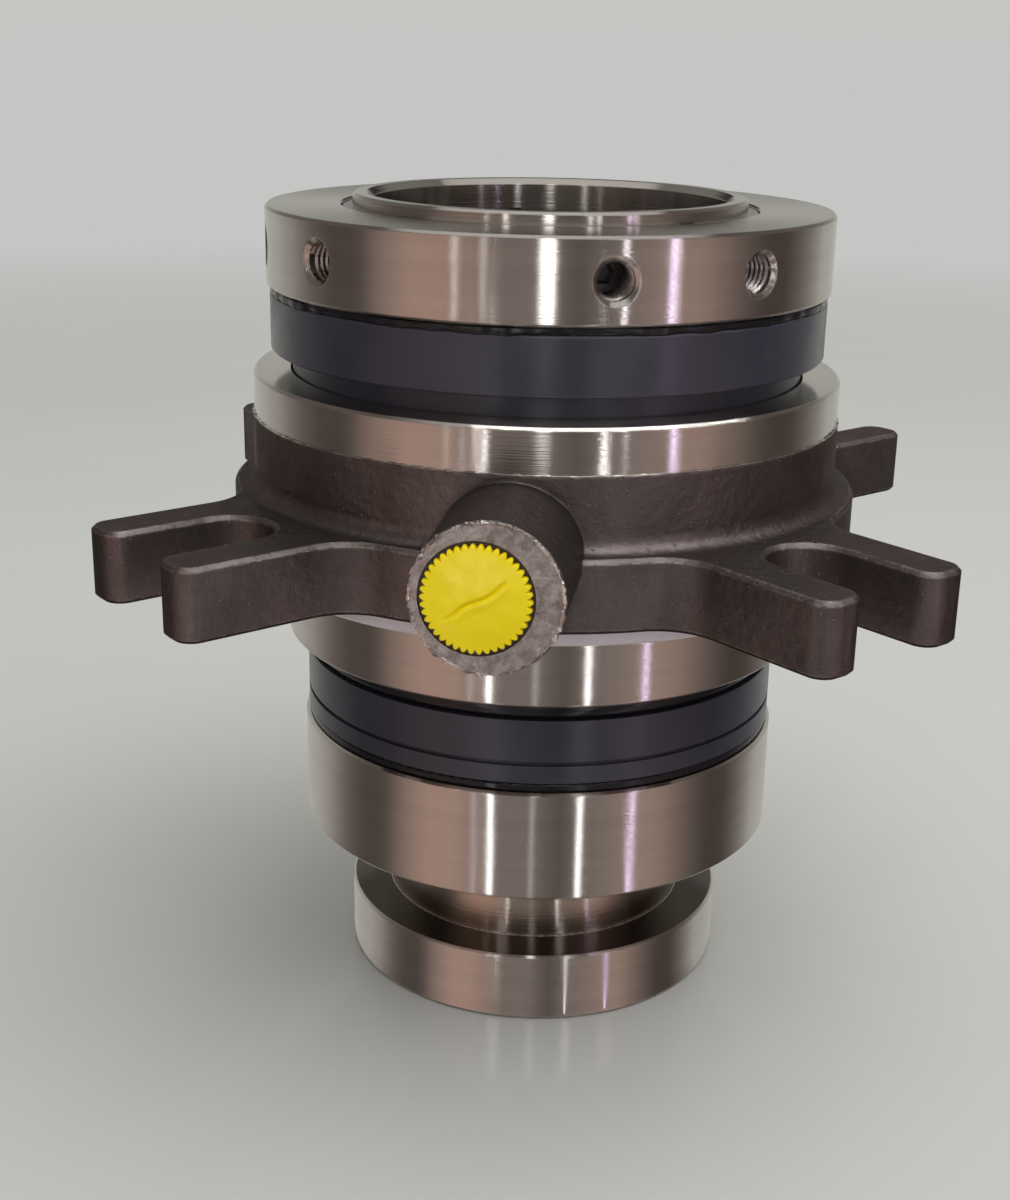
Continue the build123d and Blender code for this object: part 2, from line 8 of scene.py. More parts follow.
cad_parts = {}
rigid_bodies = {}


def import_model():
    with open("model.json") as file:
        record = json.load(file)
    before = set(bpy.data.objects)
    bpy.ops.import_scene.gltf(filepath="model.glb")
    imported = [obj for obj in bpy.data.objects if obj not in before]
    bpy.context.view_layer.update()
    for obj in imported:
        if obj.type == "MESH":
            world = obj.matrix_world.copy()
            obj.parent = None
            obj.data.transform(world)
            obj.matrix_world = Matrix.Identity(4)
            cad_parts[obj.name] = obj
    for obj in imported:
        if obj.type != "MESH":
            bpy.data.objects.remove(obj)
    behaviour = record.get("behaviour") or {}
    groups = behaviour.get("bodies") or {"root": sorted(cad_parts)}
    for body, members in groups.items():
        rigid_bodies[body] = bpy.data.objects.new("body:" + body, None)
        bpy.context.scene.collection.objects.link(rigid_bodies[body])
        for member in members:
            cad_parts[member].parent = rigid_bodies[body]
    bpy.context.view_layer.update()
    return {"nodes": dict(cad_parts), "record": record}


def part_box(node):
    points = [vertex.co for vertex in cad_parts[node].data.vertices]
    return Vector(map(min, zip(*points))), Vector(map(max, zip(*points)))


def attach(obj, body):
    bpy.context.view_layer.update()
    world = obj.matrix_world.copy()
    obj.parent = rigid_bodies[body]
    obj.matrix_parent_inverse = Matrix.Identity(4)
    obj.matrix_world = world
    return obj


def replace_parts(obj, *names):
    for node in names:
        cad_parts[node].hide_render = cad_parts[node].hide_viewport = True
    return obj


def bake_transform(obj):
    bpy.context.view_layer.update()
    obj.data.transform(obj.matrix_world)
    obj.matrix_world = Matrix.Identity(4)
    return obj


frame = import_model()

nodes = frame["nodes"]
mounts = {mount["name"]: mount for mount in frame["record"]["mounts"]}
scene = bpy.context.scene
print("frame loaded,", len(nodes), "nodes")


# Small helpers for node trees
def addNode(tree, kind, **values):
    node = tree.nodes.new("ShaderNode" + kind)
    for key, value in values.items():
        setattr(node, key, value)
    return node


def setInputs(node, **values):
    for key, value in values.items():
        node.inputs[key.replace("_", " ")].default_value = value
    return node


def wire(tree, *pairs):
    for start, end in pairs:
        tree.links.new(start, end)


def mathNode(tree, operation, first, second=0.0, third=None):
    node = addNode(tree, "Math", operation=operation)
    for socket, value in zip(node.inputs, (first, second, third)):
        if isinstance(value, bpy.types.NodeSocket):
            tree.links.new(value, socket)
        elif value is not None:
            socket.default_value = value
    return node.outputs[0]


def mixColours(tree, factor, first, second, blend="MIX"):
    node = addNode(tree, "Mix", data_type="RGBA", blend_type=blend)
    factorIn, firstIn, secondIn = node.inputs[0], node.inputs[6], node.inputs[7]
    for socket, value in ((factorIn, factor), (firstIn, first), (secondIn, second)):
        if isinstance(value, bpy.types.NodeSocket):
            tree.links.new(value, socket)
        else:
            socket.default_value = value if socket == factorIn else (*value, 1)
    return node.outputs[2]


def remap(tree, value, low, high, newLow, newHigh):
    node = addNode(tree, "MapRange")
    node.clamp = True
    wire(tree, (value, node.inputs["Value"]))
    setInputs(node, From_Min=low, From_Max=high, To_Min=newLow, To_Max=newHigh)
    return node.outputs["Result"]


def newGroup(name, inputs, outputs):
    group = bpy.data.node_groups.new(name, "ShaderNodeTree")
    for label, value in inputs.items():
        item = group.interface.new_socket(label, in_out="INPUT", socket_type="NodeSocketFloat")
        item.default_value = value
    for label, kind in outputs.items():
        group.interface.new_socket(label, in_out="OUTPUT", socket_type="NodeSocket" + kind)
    entry = group.nodes.new("NodeGroupInput")
    leave = group.nodes.new("NodeGroupOutput")
    return group, entry.outputs, leave.inputs


def noiseNode(tree, vector, scale, detail=3.0, roughness=0.5, dimensions="3D"):
    node = addNode(tree, "TexNoise", noise_dimensions=dimensions)
    if dimensions == "1D":
        wire(tree, (vector, node.inputs["W"]))
    else:
        wire(tree, (vector, node.inputs["Vector"]))
    return setInputs(node, Scale=scale, Detail=detail, Roughness=roughness).outputs[0]


# Fine grooves left by the lathe: they run round the shaft line on rims and on faces alike
def makeLatheGroup():
    group, given, out = newGroup(
        "latheLines",
        {"Lines": 2600.0, "Breaks": 5.0},
        {"Height": "Float", "Tone": "Float", "Scratch": "Float"},
    )
    place = addNode(group, "TexCoord").outputs["Object"]
    parts = addNode(group, "SeparateXYZ")
    wire(group, (place, parts.inputs[0]))
    x, y, z = parts.outputs
    squares = mathNode(group, "ADD", mathNode(group, "MULTIPLY", x, x), mathNode(group, "MULTIPLY", y, y))
    radius = mathNode(group, "SQRT", squares)
    along = mathNode(group, "MULTIPLY", mathNode(group, "ADD", radius, z), given["Lines"])
    turn = mathNode(group, "MULTIPLY", mathNode(group, "ARCTAN2", y, x), given["Breaks"])
    fine = noiseNode(group, along, 1.0, 2.0, 0.6, "1D")
    broad = noiseNode(group, along, 0.13, 2.0, 0.5, "1D")
    spread = addNode(group, "CombineXYZ")
    wire(group, (along, spread.inputs[0]), (turn, spread.inputs[1]))
    short = noiseNode(group, spread.outputs[0], 0.7, 2.0, 0.6, "2D")
    wire(group, (fine, out["Height"]), (broad, out["Tone"]),
         (remap(group, short, 0.56, 0.70, 0.0, 1.0), out["Scratch"]))
    return group


# Soft blotches: handling marks, a thin oil film, uneven blasting
def makeBlotchGroup():
    group, given, out = newGroup(
        "blotches", {"Scale": 40.0, "Low": 0.42, "High": 0.62}, {"Mask": "Float", "Cloud": "Float"})
    place = addNode(group, "TexCoord").outputs["Object"]
    cloud = addNode(group, "TexNoise")
    wire(group, (place, cloud.inputs["Vector"]), (given["Scale"], cloud.inputs["Scale"]))
    setInputs(cloud, Detail=4.0, Roughness=0.6)
    mask = addNode(group, "MapRange")
    wire(group, (cloud.outputs[0], mask.inputs["Value"]), (given["Low"], mask.inputs["From Min"]),
         (given["High"], mask.inputs["From Max"]), (mask.outputs["Result"], out["Mask"]),
         (cloud.outputs[0], out["Cloud"]))
    return group


# Worn edges: where the rounded normal turns away from the true one and the place stands open. Its second mask
# is painted shade in hollows and creases, from ambient occlusion
def makeEdgeGroup():
    group, given, out = newGroup(
        "edgeWearAndShade", {"Radius": 0.0008, "Sharpness": 0.12, "Patchy": 0.5, "Grain": 900.0},
        {"Mask": "Float", "CreviceShade": "Float", "Normal": "Vector"})
    rounded = addNode(group, "Bevel", samples=4)
    wire(group, (given["Radius"], rounded.inputs["Radius"]))
    straight = addNode(group, "NewGeometry")
    match = addNode(group, "VectorMath", operation="DOT_PRODUCT")
    wire(group, (rounded.outputs[0], match.inputs[0]), (straight.outputs["Normal"], match.inputs[1]))
    away = mathNode(group, "SUBTRACT", 1.0, match.outputs["Value"])
    raw = mathNode(group, "DIVIDE", away, given["Sharpness"])
    place = addNode(group, "TexCoord").outputs["Object"]
    grain = addNode(group, "TexNoise")
    wire(group, (place, grain.inputs["Vector"]), (given["Grain"], grain.inputs["Scale"]))
    setInputs(grain, Detail=3.0, Roughness=0.65)
    ragged = remap(group, grain.outputs[0], 0.40, 0.60, 0.0, 1.0)
    lost = mathNode(group, "MULTIPLY", given["Patchy"], mathNode(group, "SUBTRACT", 1.0, ragged))
    keep = mathNode(group, "SUBTRACT", 1.0, lost)
    exposed = addNode(group, "AmbientOcclusion", samples=4)
    setInputs(exposed, Distance=0.004)
    outer = remap(group, exposed.outputs["AO"], 0.55, 0.85, 0.0, 1.0)
    worn = mathNode(group, "MULTIPLY", mathNode(group, "MULTIPLY", raw, keep), outer)
    mask = mathNode(group, "MINIMUM", worn, 1.0)
    # painted shade: darker where ambient occlusion finds a hollow
    shadeInCrevices = remap(group, exposed.outputs["AO"], 0.50, 0.80, 1.0, 0.0)
    wire(group, (mask, out["Mask"]), (shadeInCrevices, out["CreviceShade"]), (rounded.outputs[0], out["Normal"]))
    return group


# Blasted casting: fine grain, low waves from the mould, a few open pits
def makeCastGroup():
    group, given, out = newGroup(
        "castSkin", {"Grain": 1500.0, "Dents": 430.0, "Waves": 90.0, "Pits": 420.0},
        {"Height": "Float", "Tone": "Float", "Pit": "Float"})
    place = addNode(group, "TexCoord").outputs["Object"]
    grain = addNode(group, "TexNoise")
    dents = addNode(group, "TexNoise")
    waves = addNode(group, "TexNoise")
    pits = addNode(group, "TexVoronoi", feature="F1")
    wire(group, (place, grain.inputs["Vector"]), (given["Grain"], grain.inputs["Scale"]),
         (place, dents.inputs["Vector"]), (given["Dents"], dents.inputs["Scale"]),
         (place, waves.inputs["Vector"]), (given["Waves"], waves.inputs["Scale"]),
         (place, pits.inputs["Vector"]), (given["Pits"], pits.inputs["Scale"]))
    setInputs(grain, Detail=4.0, Roughness=0.7)
    setInputs(dents, Detail=2.0, Roughness=0.45)
    setInputs(waves, Detail=3.0, Roughness=0.5)
    setInputs(pits, Randomness=1.0)
    hole = remap(group, pits.outputs["Distance"], 0.04, 0.13, 1.0, 0.0)
    slow = mathNode(group, "MULTIPLY", waves.outputs[0], 1.2)
    dented = mathNode(group, "MULTIPLY_ADD", dents.outputs[0], 0.9, slow)
    grainy = mathNode(group, "MULTIPLY_ADD", grain.outputs[0], 0.35, dented)
    height = mathNode(group, "SUBTRACT", grainy, mathNode(group, "MULTIPLY", hole, 0.5))
    tone = mathNode(group, "ADD", mathNode(group, "MULTIPLY", waves.outputs[0], 0.6),
                    mathNode(group, "MULTIPLY", grain.outputs[0], 0.4))
    wire(group, (height, out["Height"]), (tone, out["Tone"]), (hole, out["Pit"]))
    return group


# Painted shade that keeps to one level: full on one side of the step and gone on the other
def makeLevelShadeGroup():
    group, given, out = newGroup(
        "levelShade", {"Low": 0.0, "High": 0.001, "Below": 1.0, "Above": 0.0}, {"Mask": "Float"})
    place = addNode(group, "TexCoord").outputs["Object"]
    parts = addNode(group, "SeparateXYZ")
    step = addNode(group, "MapRange")
    wire(group, (place, parts.inputs[0]), (parts.outputs["Z"], step.inputs["Value"]),
         (given["Low"], step.inputs["From Min"]), (given["High"], step.inputs["From Max"]),
         (given["Below"], step.inputs["To Min"]), (given["Above"], step.inputs["To Max"]),
         (step.outputs["Result"], out["Mask"]))
    return group


latheGroup = makeLatheGroup()
blotchGroup = makeBlotchGroup()
edgeGroup = makeEdgeGroup()
castGroup = makeCastGroup()
levelShadeGroup = makeLevelShadeGroup()
print("shared effects built")


def newMaterial(name):
    material = bpy.data.materials.new(name)
    material.use_nodes = True
    tree = material.node_tree
    return material, tree, tree.nodes["Principled BSDF"]


def placeGroup(tree, group, **values):
    node = addNode(tree, "Group", node_tree=group)
    return setInputs(node, **values)


def addBump(tree, shader, height, strength, distance, normal=None):
    bump = addNode(tree, "Bump")
    setInputs(bump, Strength=strength, Distance=distance)
    wire(tree, (height, bump.inputs["Height"]), (bump.outputs[0], shader.inputs["Normal"]))
    if normal is not None:
        wire(tree, (normal, bump.inputs["Normal"]))
    return bump


turnedLook = {
    "dull": (0.53, 0.495, 0.46),
    "bright": (0.60, 0.565, 0.53),
    "worn": (0.80, 0.78, 0.76),
    "roughness": (0.14, 0.175),
    "lines": 2300.0,
    "grooves": (0.45, 0.00006),  # strength, depth
    "scratches": 0.25,
    "wear": 0.35,
}
boreLook = {**turnedLook, "roughness": (0.32, 0.42), "lines": 1500.0}
# Painted shade, multiplied in at one level: the neck turns darker and warmer below it, as under the housing,
# and the end ring's top face turns much darker above it
neckShade = {"colour": (0.95, 0.90, 0.84), "levels": (0.036, 0.038, 1.0, 0.0)}  # from, to, below, above
footShade = {"colour": (0.17, 0.155, 0.15), "levels": (0.01655, 0.01668, 0.0, 1.0)}


def makeTurnedSteel(name, look, paintedShade=None):
    material, tree, shader = newMaterial(name)
    lathe = placeGroup(tree, latheGroup, Lines=look["lines"])
    film = placeGroup(tree, blotchGroup, Scale=22.0)
    edge = placeGroup(tree, edgeGroup, Radius=0.00035, Patchy=0.3)
    tone = mixColours(tree, lathe.outputs["Tone"], look["dull"], look["bright"])
    scratch = mathNode(tree, "MULTIPLY", lathe.outputs["Scratch"], look["scratches"])
    scored = mixColours(tree, scratch, tone, look["dull"])
    wear = mathNode(tree, "MULTIPLY", edge.outputs["Mask"], look["wear"])
    worn = mixColours(tree, wear, scored, look["worn"])
    # Painted shade: the colour is multiplied on one side of a level
    if paintedShade:
        low, high, below, above = paintedShade["levels"]
        level = placeGroup(tree, levelShadeGroup, Low=low, High=high, Below=below, Above=above)
        worn = mixColours(tree, level.outputs["Mask"], worn, paintedShade["colour"], "MULTIPLY")
    rough = remap(tree, film.outputs["Mask"], 0, 1, *look["roughness"])
    tangent = addNode(tree, "Tangent", direction_type="RADIAL", axis="Z")
    wire(tree, (worn, shader.inputs["Base Color"]), (rough, shader.inputs["Roughness"]),
         (tangent.outputs[0], shader.inputs["Tangent"]))
    setInputs(shader, Metallic=1.0, Anisotropic=1.0, Anisotropic_Rotation=0.25)
    addBump(tree, shader, lathe.outputs["Height"], *look["grooves"], edge.outputs["Normal"])
    return material


castLook = {
    "base": (0.102, 0.086, 0.083),
    "pale": (0.160, 0.136, 0.132),
    "worn": (0.42, 0.39, 0.37),
    # deep: colour of the painted shade in creases and hollows
    "deep": (0.030, 0.025, 0.024),
    "grazing": (0.30, 0.28, 0.27),
    "roughness": (0.46, 0.33),
    "wear": 0.75,
    "shade": 1.0,
    "pits": 0.25,
    "creviceShadeAmount": 0.7,
    "polish": 0.06,
    "depth": 0.00030,
}
rimLook = {**castLook, "wear": 0.45, "shade": 0.5}


def makeCastSteel(name, look):
    material, tree, shader = newMaterial(name)
    skin = placeGroup(tree, castGroup)
    edge = placeGroup(tree, edgeGroup, Radius=0.0009, Sharpness=0.10, Patchy=1.0, Grain=420.0)
    base, pale = (tuple(look["shade"] * c for c in look[key]) for key in ("base", "pale"))
    tone = mixColours(tree, remap(tree, skin.outputs["Tone"], 0.35, 0.65, 0, 1), base, pale)
    pits = mathNode(tree, "MULTIPLY", skin.outputs["Pit"], look["pits"])
    pitted = mixColours(tree, pits, tone, look["worn"])
    # Bright edges: partly real edge wear, partly a painted highlight along the top edges and corners of the
    # lugs
    wear = mathNode(tree, "MULTIPLY", edge.outputs["Mask"], look["wear"])
    worn = mixColours(tree, wear, pitted, look["worn"])
    # painted shade: creases and hollows turn towards the deep colour
    shadeInCrevices = mathNode(tree, "MULTIPLY", edge.outputs["CreviceShade"], look["creviceShadeAmount"])
    shadedCrevices = mixColours(tree, shadeInCrevices, worn, look["deep"])
    polish = mathNode(tree, "MULTIPLY", edge.outputs["Mask"], look["polish"])
    matt = remap(tree, skin.outputs["Tone"], 0.35, 0.65, *look["roughness"])
    rough = mathNode(tree, "SUBTRACT", matt, polish)
    wire(tree, (shadedCrevices, shader.inputs["Base Color"]), (rough, shader.inputs["Roughness"]))
    setInputs(shader, Metallic=0.9)
    shader.inputs["Specular Tint"].default_value = (*look["grazing"], 1)
    addBump(tree, shader, skin.outputs["Height"], 0.85, look["depth"], edge.outputs["Normal"])
    return material


faceLook = {"base": (0.23, 0.19, 0.18), "pale": (0.50, 0.44, 0.42), "dark": (0.08, 0.062, 0.056)}


def makeRoughFace():
    material, tree, shader = newMaterial("roughFace")
    skin = placeGroup(tree, castGroup, Grain=1900.0, Waves=420.0, Pits=330.0)
    patches = placeGroup(tree, blotchGroup, Scale=170.0, Low=0.40, High=0.66)
    tone = mixColours(tree, remap(tree, skin.outputs["Tone"], 0.38, 0.64, 0, 1),
                      faceLook["base"], faceLook["pale"])
    patch = mathNode(tree, "MULTIPLY", patches.outputs["Mask"], 0.35)
    shaded = mixColours(tree, patch, tone, faceLook["pale"])
    dark = mixColours(tree, mathNode(tree, "MULTIPLY", skin.outputs["Pit"], 0.5), shaded, faceLook["dark"])
    wire(tree, (dark, shader.inputs["Base Color"]),
         (remap(tree, skin.outputs["Tone"], 0.35, 0.65, 0.52, 0.36), shader.inputs["Roughness"]))
    setInputs(shader, Metallic=0.8)
    addBump(tree, shader, skin.outputs["Height"], 0.7, 0.00022)
    return material


burrLook = {"bright": (0.66, 0.62, 0.59), "dark": (0.24, 0.205, 0.19), "patches": 190.0}


def makeBurr():
    material, tree, shader = newMaterial("rolledBurr")
    patches = placeGroup(tree, blotchGroup, Scale=burrLook["patches"], Low=0.44, High=0.56)
    skin = placeGroup(tree, castGroup, Grain=2400.0, Waves=900.0)
    tone = mixColours(tree, patches.outputs["Mask"], burrLook["dark"], burrLook["bright"])
    wire(tree, (tone, shader.inputs["Base Color"]),
         (remap(tree, patches.outputs["Mask"], 0, 1, 0.42, 0.24), shader.inputs["Roughness"]))
    setInputs(shader, Metallic=1.0)
    addBump(tree, shader, skin.outputs["Height"], 0.5, 0.00012)
    return material


carbideLook = {"base": (0.021, 0.0195, 0.032), "pale": (0.037, 0.034, 0.054), "worn": (0.09, 0.082, 0.10)}


def makeSealCarbide():
    material, tree, shader = newMaterial("sealCarbide")
    lathe = placeGroup(tree, latheGroup, Lines=1700.0)
    film = placeGroup(tree, blotchGroup, Scale=60.0)
    edge = placeGroup(tree, edgeGroup, Radius=0.0004, Patchy=0.4)
    tone = mixColours(tree, film.outputs["Cloud"], carbideLook["base"], carbideLook["pale"])
    worn = mixColours(tree, mathNode(tree, "MULTIPLY", edge.outputs["Mask"], 0.5), tone, carbideLook["worn"])
    wire(tree, (worn, shader.inputs["Base Color"]),
         (remap(tree, film.outputs["Mask"], 0, 1, 0.30, 0.42), shader.inputs["Roughness"]))
    setInputs(shader, Metallic=0.0, Anisotropic=0.6, Anisotropic_Rotation=0.25)
    tangent = addNode(tree, "Tangent", direction_type="RADIAL", axis="Z")
    wire(tree, (tangent.outputs[0], shader.inputs["Tangent"]))
    shader.inputs["Specular IOR Level"].default_value = 0.55
    addBump(tree, shader, lathe.outputs["Height"], 0.3, 0.00001, edge.outputs["Normal"])
    return material


rubberLook = {"deep": (0.004, 0.004, 0.005), "clear": (0.011, 0.010, 0.013), "roughness": (0.12, 0.24)}


def makeGlossRubber():
    material, tree, shader = newMaterial("glossRubber")
    film = placeGroup(tree, blotchGroup, Scale=110.0)
    lumps = placeGroup(tree, blotchGroup, Scale=420.0)
    tone = mixColours(tree, film.outputs["Cloud"], rubberLook["deep"], rubberLook["clear"])
    wire(tree, (tone, shader.inputs["Base Color"]),
         (remap(tree, film.outputs["Mask"], 0, 1, *rubberLook["roughness"]), shader.inputs["Roughness"]))
    shader.inputs["Specular IOR Level"].default_value = 0.35
    addBump(tree, shader, lumps.outputs["Cloud"], 0.35, 0.00015)
    return material


plasticLook = {"deep": (0.74, 0.55, 0.001), "clear": (0.86, 0.69, 0.003), "roughness": (0.26, 0.36)}


def makeYellowPlastic():
    material, tree, shader = newMaterial("yellowPlastic")
    film = placeGroup(tree, blotchGroup, Scale=90.0)
    lumps = placeGroup(tree, blotchGroup, Scale=230.0)
    tone = mixColours(tree, film.outputs["Cloud"], plasticLook["deep"], plasticLook["clear"])
    wire(tree, (tone, shader.inputs["Base Color"]),
         (remap(tree, film.outputs["Mask"], 0, 1, *plasticLook["roughness"]), shader.inputs["Roughness"]))
    shader.inputs["Specular IOR Level"].default_value = 0.3
    addBump(tree, shader, lumps.outputs["Cloud"], 0.35, 0.0004)
    return material


# Small steel parts: colours dull and bright, roughness, depth of the grain and metallic
plainLooks = {
    # threadSteel is darker than the other small parts: painted shade inside the collar's holes
    "threadSteel": ((0.24, 0.22, 0.21), (0.40, 0.37, 0.35), (0.22, 0.34), 0.00004, 1.0),
    "arrisSteel": ((0.42, 0.39, 0.37), (0.62, 0.58, 0.55), (0.22, 0.34), 0.00004, 1.0),
    "springSteel": ((0.42, 0.41, 0.40), (0.56, 0.55, 0.54), (0.28, 0.40), 0.00004, 1.0),
    "pinSteel": ((0.10, 0.095, 0.09), (0.20, 0.19, 0.18), (0.30, 0.44), 0.00005, 1.0),
    "satinSteel": ((0.58, 0.51, 0.55), (0.70, 0.62, 0.67), (0.42, 0.55), 0.00004, 0.2),
}
wornSteel = (0.70, 0.69, 0.67)


def makePlainSteel(name):
    dull, bright, roughness, depth, metallic = plainLooks[name]
    material, tree, shader = newMaterial(name)
    film = placeGroup(tree, blotchGroup, Scale=180.0)
    edge = placeGroup(tree, edgeGroup, Radius=0.0003, Patchy=0.5)
    lumps = placeGroup(tree, castGroup, Grain=2600.0, Waves=500.0, Pits=900.0)
    tone = mixColours(tree, film.outputs["Cloud"], dull, bright)
    worn = mixColours(tree, edge.outputs["Mask"], tone, wornSteel)
    wire(tree, (worn, shader.inputs["Base Color"]),
         (remap(tree, film.outputs["Mask"], 0, 1, *roughness), shader.inputs["Roughness"]))
    setInputs(shader, Metallic=metallic)
    addBump(tree, shader, lumps.outputs["Height"], 0.3, depth, edge.outputs["Normal"])
    return material


turnedSteel = makeTurnedSteel("turnedSteel", turnedLook)
boredSteel = makeTurnedSteel("boredSteel", boreLook)
# neckSteel and footSteel carry the painted shade under the housing
neckSteel = makeTurnedSteel("neckSteel", turnedLook, neckShade)
footSteel = makeTurnedSteel("footSteel", turnedLook, footShade)
castSteel = makeCastSteel("castSteel", castLook)
castRim = makeCastSteel("castRim", rimLook)
roughFace = makeRoughFace()
rolledBurr = makeBurr()
sealCarbide = makeSealCarbide()
glossRubber = makeGlossRubber()
yellowPlastic = makeYellowPlastic()
threadSteel, arrisSteel, springSteel, pinSteel, satinSteel = (makePlainSteel(name) for name in plainLooks)
print("materials built")

slotMaterials = {
    "turned_steel": turnedSteel,
    "cast_steel": castSteel,
    "carbide": sealCarbide,
    "black_rubber": glossRubber,
    "spring_steel": springSteel,
    "pin_steel": pinSteel,
    "yellow_plastic": yellowPlastic,
}
for part in frame["record"]["subparts"]:
    mesh = nodes[part["node"]].data
    mesh.materials.clear()
    mesh.materials.append(slotMaterials[part["material_slot"]])
nodes["shaft_sleeve"].data.materials[0] = neckSteel
nodes["sleeve_end_ring"].data.materials[0] = footSteel


def newPiece(name, mesh, body, slotName, *materials):
    piece = bpy.data.objects.new(name, mesh)
    scene.collection.objects.link(piece)
    for material in materials:
        mesh.materials.append(material)
    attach(piece, body)
    return piece


def smoothOut(mesh, angle=40.0):
    build = bmesh.new()
    build.from_mesh(mesh)
    bmesh.ops.recalc_face_normals(build, faces=build.faces)
    limit = math.radians(angle)
    for face in build.faces:
        face.smooth = True
    for edge in build.edges:
        edge.smooth = len(edge.link_faces) == 2 and edge.calc_face_angle(0) < limit
    build.to_mesh(mesh)
    build.free()


# Rows run round the part, and each row is a list of points across the section
def gridMesh(name, rows, closeAcross=True):
    mesh = bpy.data.meshes.new(name)
    across = len(rows[0])
    points = [point for row in rows for point in row]
    faces = []
    for i in range(len(rows)):
        j = (i + 1) % len(rows)
        for k in range(across if closeAcross else across - 1):
            m = (k + 1) % across
            faces.append((i * across + k, j * across + k, j * across + m, i * across + m))
    mesh.from_pydata(points, [], faces)
    mesh.update()
    smoothOut(mesh)
    return mesh


def rayAt(angle):
    return Vector((math.cos(angle), math.sin(angle), 0))


def raysRound(columns):
    return [rayAt(2 * math.pi * column / columns) for column in range(columns)]


# Smooth closed unevenness round a circle
def uneven(ray, pace, seed):
    return noise.noise(Vector((ray.x * pace, ray.y * pace, seed)))


# Round section of a thin bead, in the plane of its ray and the upright
def beadRow(centre, ray, size, sides):
    leans = [2 * math.pi * k / sides for k in range(sides)]
    return [centre + (ray * math.cos(lean) + Vector((0, 0, math.sin(lean)))) * size for lean in leans]


# A revolved wall gets its exact normals, so no step shows where it closes on itself
seamLook = {"reach": 2.5, "leastFlat": 0.05, "leastRadius": 0.01}  # degrees, normal's flat share, metres


def mendSeam(mesh):
    normals = [corner.vector.copy() for corner in mesh.corner_normals]
    for corner, normal in zip(mesh.loops, normals):
        spot = mesh.vertices[corner.vertex_index].co.xy
        flat = normal.xy
        if flat.length < seamLook["leastFlat"] or spot.length < seamLook["leastRadius"]:
            continue
        if flat.dot(spot) < 0:
            spot = -spot
        if flat.angle(spot) < math.radians(seamLook["reach"]):
            normal.x, normal.y = spot.normalized() * flat.length
    mesh.normals_split_custom_set(normals)


turnedRings = {
    "driveCollarTurned": ("drive_collar", turnedSteel),
    "rotorHousingTurned": ("rotor_housing", turnedSteel),
    "sleeveEndRingTurned": ("sleeve_end_ring", footSteel),
}
for name, (node, finish) in turnedRings.items():
    mesh = nodes[node].data.copy()
    mesh.name = name
    mesh.materials.clear()
    mendSeam(mesh)
    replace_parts(newPiece(name, mesh, "rotor", "turned_steel", finish), node)

# Spring stacks: each stack is a plain copy left where it stands; the bodies listed for its two ends are not
# used, so it keeps to no body and does not flatten as the gland floats
springStacks = {
    "innerSpringStack": ("inner_springs", "sprung_faces", "gland"),
    "outerSpringStack": ("outer_springs", "gland", "sprung_faces"),
}
for name, (node, lowerBody, upperBody) in springStacks.items():
    mesh = nodes[node].data.copy()
    mesh.name = name
    stack = bpy.data.objects.new(name, mesh)
    scene.collection.objects.link(stack)
    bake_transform(stack)
    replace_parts(stack, node)

# Gland: the casting with its machined places in their own finish
glandLook = {
    "bandFoot": 0.0098,
    "registerTop": 0.0037,
    "boreRadius": 0.0598,
    "lugsFrom": 0.095,
    "rimDepth": 0.0009,
    "rimSlope": (0.6, 0.8),
    "seatDepth": 0.0001,
}


def makeGland():
    look = glandLook
    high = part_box("gland")[1]
    gasket = mounts["gasket_face"]["pos_m"][2]
    mesh = nodes["gland"].data.copy()
    mesh.name = "glandBody"
    mesh.materials.clear()
    finishes = (castSteel, turnedSteel, boredSteel, satinSteel, castRim)
    cast, turned, hollow, satin, rim = range(len(finishes))
    piece = newPiece("glandBody", mesh, "gland", "cast_steel", *finishes)
    outward = Vector(mounts["barrier_port_front"]["axis"])
    reach = Vector(mounts["barrier_port_front"]["pos_m"]).dot(outward) - look["seatDepth"]
    lugs = [face.center.z for face in mesh.polygons if face.center.xy.length > look["lugsFrom"]]
    rims = (min(lugs), max(lugs))
    leastSlope, mostSlope = look["rimSlope"]
    for face in mesh.polygons:
        centre, normal = face.center, face.normal
        facing = centre.xy.dot(normal.xy)
        fromRim = min(abs(centre.z - level) for level in rims)
        if abs(centre.dot(outward)) > reach and abs(normal.dot(outward)) > 0.99:
            face.material_index = cast
        elif centre.z > high.z - look["bandFoot"]:
            face.material_index = turned
        elif leastSlope < abs(normal.z) < mostSlope and fromRim < look["rimDepth"]:
            face.material_index = rim
        elif centre.z < gasket + look["registerTop"]:
            face.material_index = satin if centre.z > gasket and facing > 0 else turned
        elif centre.xy.length < look["boreRadius"] and facing < 0:
            face.material_index = hollow
    mendSeam(mesh)
    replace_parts(piece, "gland")


makeGland()
print("gland done")


# Seats of the two ports: rough sawn face with a ragged rolled rim
bossLook = {
    "inner": 0.0112,
    "radius": 0.0150,
    "shift": 0.0018,
    "raise": 0.00045,
    "rim": 0.00041,
    "ragged": 0.00034,
    "rough": 0.00014,
    "lip": 0.0004,
    "columns": 360,
    "steps": 14,
    "seeds": {"front": 3.0, "rear": 11.0},
}


def portFrame(side):
    mount = mounts["barrier_port_" + side]
    outward = Vector(mount["axis"]).normalized()
    up = Vector((0, 0, 1))
    turn = Matrix((up.cross(outward), up, outward)).transposed().to_4x4()
    return Matrix.Translation(Vector(mount["pos_m"])) @ turn


